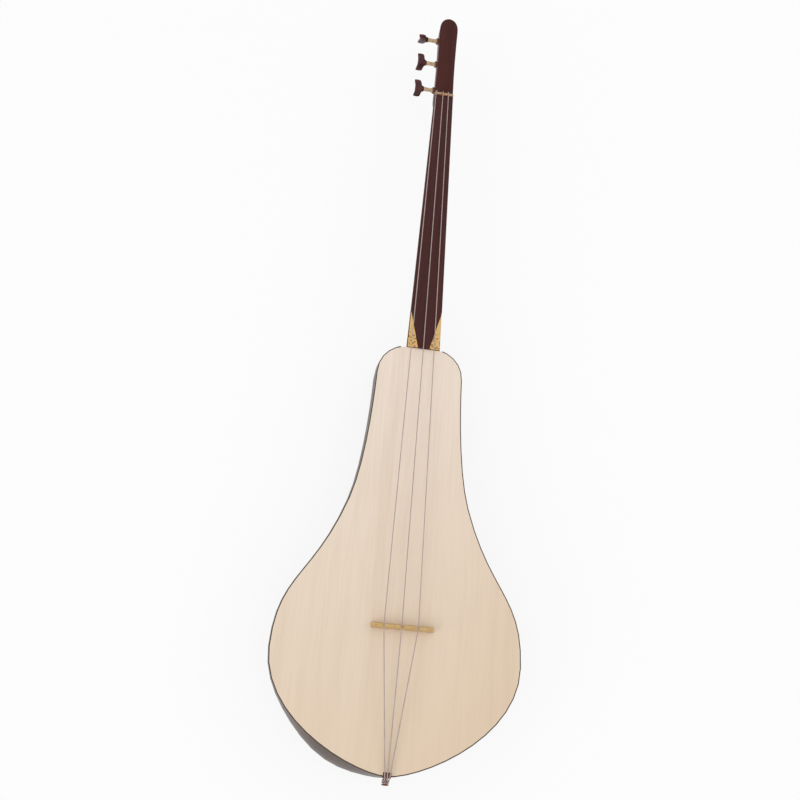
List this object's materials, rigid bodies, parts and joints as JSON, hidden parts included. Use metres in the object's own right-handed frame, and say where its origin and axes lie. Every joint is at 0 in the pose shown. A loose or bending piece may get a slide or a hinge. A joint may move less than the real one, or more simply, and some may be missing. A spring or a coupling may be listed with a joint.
{
  "type": "long-necked fretless lute",
  "caption": "Fretless plucked lute with a carved teardrop bowl, a pale spruce soundboard, a slim dark neck and side tuning pegs. It lies on the flat of its back.",
  "frame": {"origin": "centre of the flat of the back, on which the instrument lies", "axes": "+Y along the neck towards the head, +Z out of the soundboard, -X towards the peg handles"},
  "size_m": [0.2498, 0.8922, 0.0702],
  "materials": {
    "bowl": "stained dark, glossy varnish",
    "soundboard": "spruce, satin",
    "brace": "bare spruce",
    "neck": "stained dark, glossy varnish",
    "fingerboard": "dark, polished",
    "inlay": "golden, with a darker pattern",
    "nut": "golden, polished",
    "bridge": "golden, satin",
    "saddle": "reddish brown, satin",
    "tail_pin": "reddish brown, polished",
    "peg_shaft": "pale, polished",
    "peg_handle": "dark cherry red, glossy",
    "ferrule": "brown, polished",
    "string": "plain gut or nylon string"
  },
  "bodies": {
    "instrument": {"body_bowl": "bowl", "soundboard": "soundboard", "brace_upper": "brace", "brace_lower": "brace", "neck": "neck", "fingerboard": "fingerboard", "inlay_left": "inlay", "inlay_right": "inlay", "nut": "nut", "bridge": "bridge", "saddle": "saddle", "tail_pin": "tail_pin", "peg_ferrule_1": "ferrule", "string_1": "string", "peg_ferrule_2": "ferrule", "string_2": "string", "peg_ferrule_3": "ferrule", "string_3": "string"},
    "peg_1": {"peg_shaft_1": "peg_shaft", "peg_handle_1": "peg_handle", "winding_1": "string"},
    "peg_2": {"peg_shaft_2": "peg_shaft", "peg_handle_2": "peg_handle", "winding_2": "string"},
    "peg_3": {"peg_shaft_3": "peg_shaft", "peg_handle_3": "peg_handle", "winding_3": "string"}
  },
  "joints": [
    {"name": "peg_1_turn", "type": "hinge", "parent": "instrument", "child": "peg_1", "pos_m": [0.0016, 0.57815, 0.047], "axis": [1, 0, 0], "continuous": true},
    {"name": "peg_2_turn", "type": "hinge", "parent": "instrument", "child": "peg_2", "pos_m": [0.0016, 0.61795, 0.047], "axis": [1, 0, 0], "continuous": true},
    {"name": "peg_3_turn", "type": "hinge", "parent": "instrument", "child": "peg_3", "pos_m": [0.0016, 0.65415, 0.047], "axis": [1, 0, 0], "continuous": true}
  ]
}
